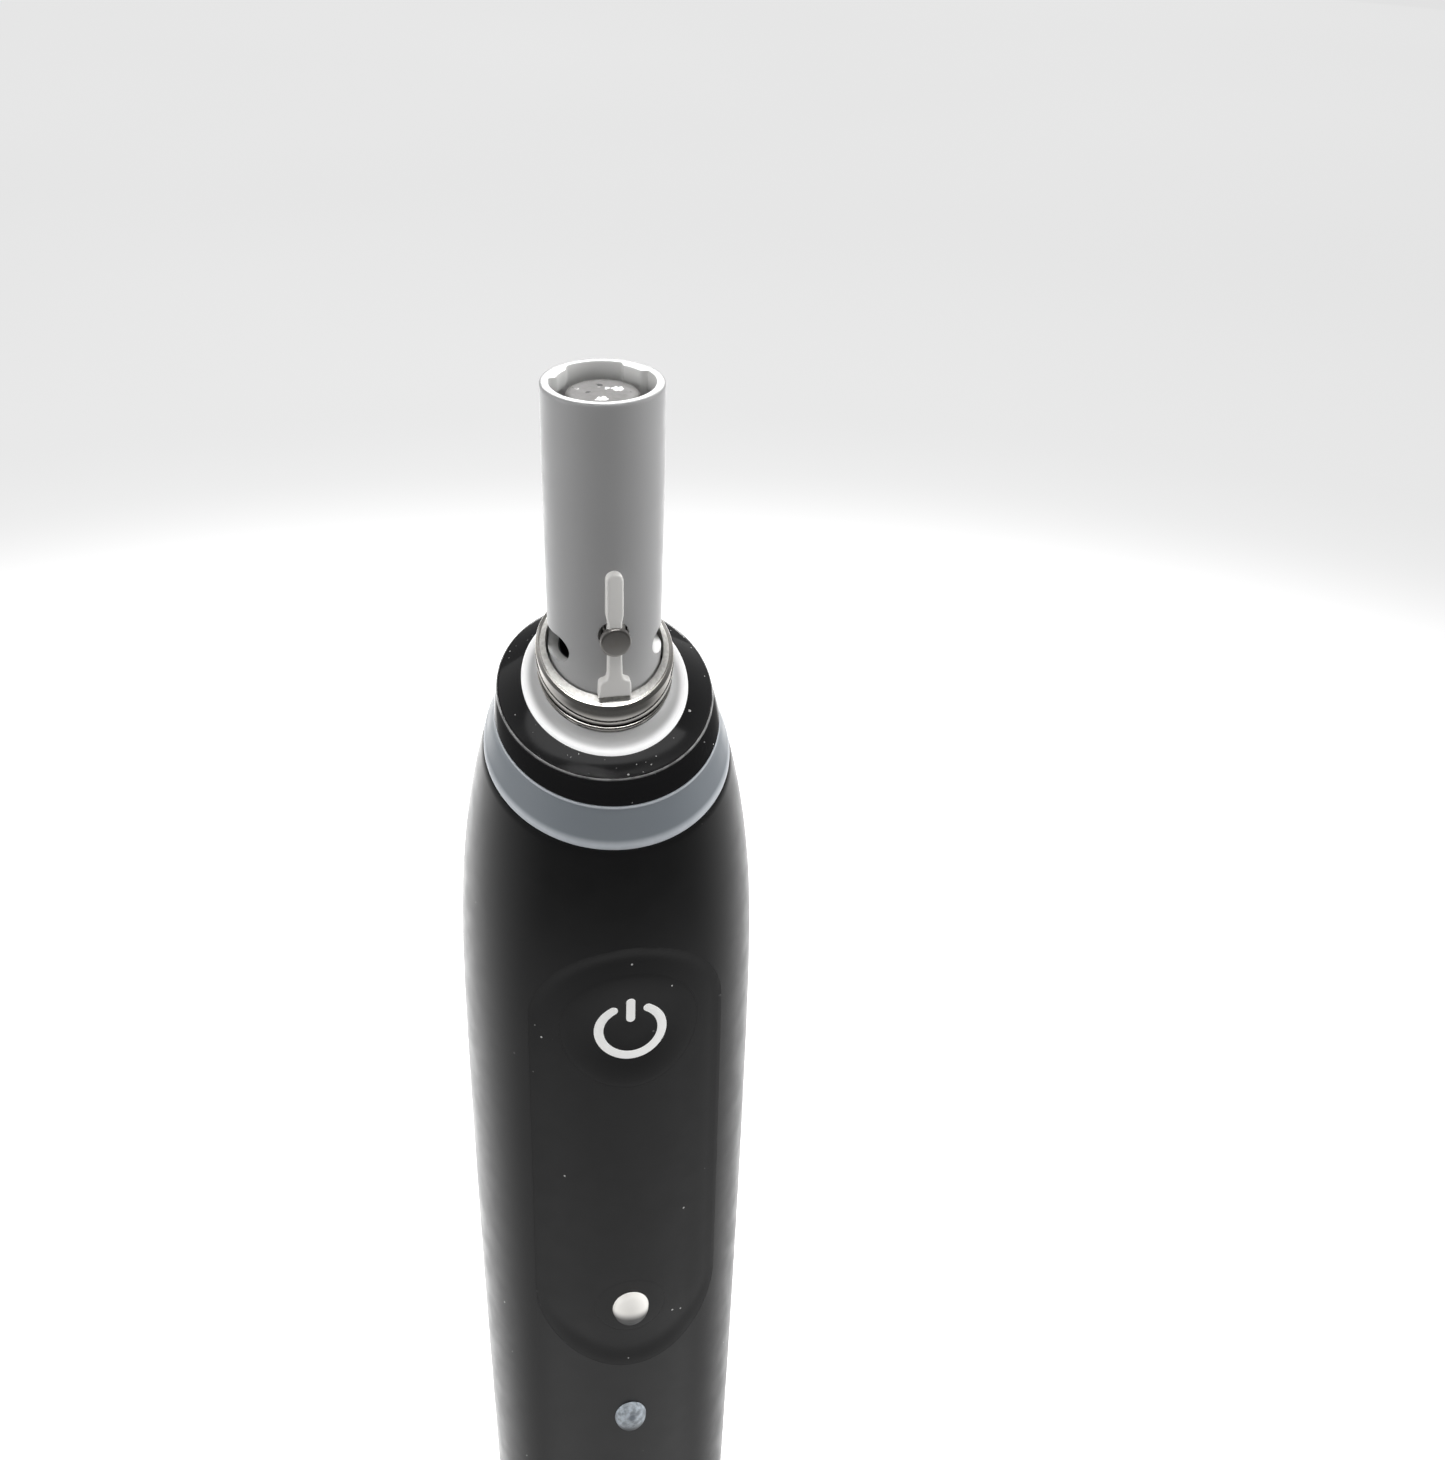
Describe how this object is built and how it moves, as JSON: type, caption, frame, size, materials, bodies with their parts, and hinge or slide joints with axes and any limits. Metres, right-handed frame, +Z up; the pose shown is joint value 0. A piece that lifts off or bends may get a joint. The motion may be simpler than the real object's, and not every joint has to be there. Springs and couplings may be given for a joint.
{
  "type": "electric toothbrush handle on charging base",
  "caption": "Black electric toothbrush handle with a light ring, steel neck ring and open drive sleeve, standing on a low round inductive charging base.",
  "frame": {"origin": "middle of the charging base's underside, where its non-slip ring meets the surface", "axes": "+Z up along the handle, -Y towards the handle's front, where its buttons are, +X to the right of the front"},
  "size_m": [0.06, 0.06, 0.205],
  "materials": {
    "body_black": "satin black moulded plastic with a fine grain and soft grey sheen at the sides",
    "neck_gloss": "polished black plastic with a little dust",
    "soft_panel": "soft-touch black elastomer",
    "collar_white": "white moulded plastic",
    "sleeve_grey": "light grey satin plastic",
    "tip_grey": "light grey plastic with small specks",
    "inner_plastic": "grey structural plastic",
    "ring_diffuser": "smoky blue-grey translucent plastic, unlit",
    "lens_pale": "warm white translucent plastic",
    "lens_indicator": "pale blue-grey translucent plastic",
    "steel": "brushed stainless steel",
    "copper": "enamelled copper winding",
    "magnet": "dark sintered magnet or ferrite",
    "board": "green printed circuit board",
    "switch": "black switch body",
    "seal_rubber": "black rubber",
    "battery": "blue shrink sleeve over a metal can",
    "base_white": "satin white moulded plastic"
  },
  "bodies": {
    "charger": {"charger_housing": "base_white", "charger_base": "base_white", "non_slip_ring": "seal_rubber", "ferrite_core": "magnet", "primary_coil": "copper", "charger_board": "board", "cord_gland": "seal_rubber", "base_screw_1": "steel", "base_screw_2": "steel", "base_screw_3": "steel"},
    "handle": {"body_shell": "body_black", "light_ring": "ring_diffuser", "neck_cap": "neck_gloss", "neck_collar": "collar_white", "steel_ring": "steel", "bottom_cap": "body_black", "bottom_seal": "seal_rubber", "control_panel": "soft_panel", "indicator_lens": "lens_indicator", "chassis": "inner_plastic", "circuit_board": "board", "power_switch": "switch", "mode_switch": "switch", "battery_cell": "battery", "positive_tab": "steel", "negative_tab": "steel", "ring_light_strip": "board", "coil_former": "inner_plastic", "charging_coil": "copper", "neck_seal": "seal_rubber"},
    "drive_unit": {"drive_sleeve": "sleeve_grey", "sleeve_key": "collar_white", "key_pin": "steel", "motor_can": "steel", "motor_end_plate": "inner_plastic", "motor_coil": "copper", "drive_frame": "inner_plastic", "upper_leaf_spring": "steel", "lower_leaf_spring": "steel", "shaft_seal": "seal_rubber"},
    "mover": {"drive_shaft": "steel", "drive_tip": "tip_grey", "magnet_armature": "magnet"},
    "power_key": {"power_button": "soft_panel", "power_light_guide": "lens_pale"},
    "mode_key": {"mode_button": "soft_panel", "mode_dot_lens": "lens_pale"}
  },
  "joints": [
    {"name": "handle_lift", "type": "slide", "parent": "charger", "child": "handle", "axis": [0, 0, 1], "range_m": [0, 0.04]},
    {"name": "neck_tip", "type": "hinge", "parent": "handle", "child": "drive_unit", "pos_m": [0, 0, 0.1743], "axis": [-1, 0, 0], "range_deg": [0, 0.8], "stiffness_Nm_per_rad": 4, "springref_deg": -2.58},
    {"name": "drive_stroke", "type": "slide", "parent": "drive_unit", "child": "mover", "axis": [0, 0, 1], "range_m": [-0.0008, 0.0008], "stiffness_N_per_m": 3000},
    {"name": "power_button_press", "type": "slide", "parent": "handle", "child": "power_key", "axis": [0, 1, 0], "range_m": [0, 0.0004], "stiffness_N_per_m": 1500, "springref_m": -0.0004},
    {"name": "mode_button_press", "type": "slide", "parent": "handle", "child": "mode_key", "axis": [0, 1, 0], "range_m": [0, 0.0004], "stiffness_N_per_m": 1500, "springref_m": -0.0004}
  ]
}
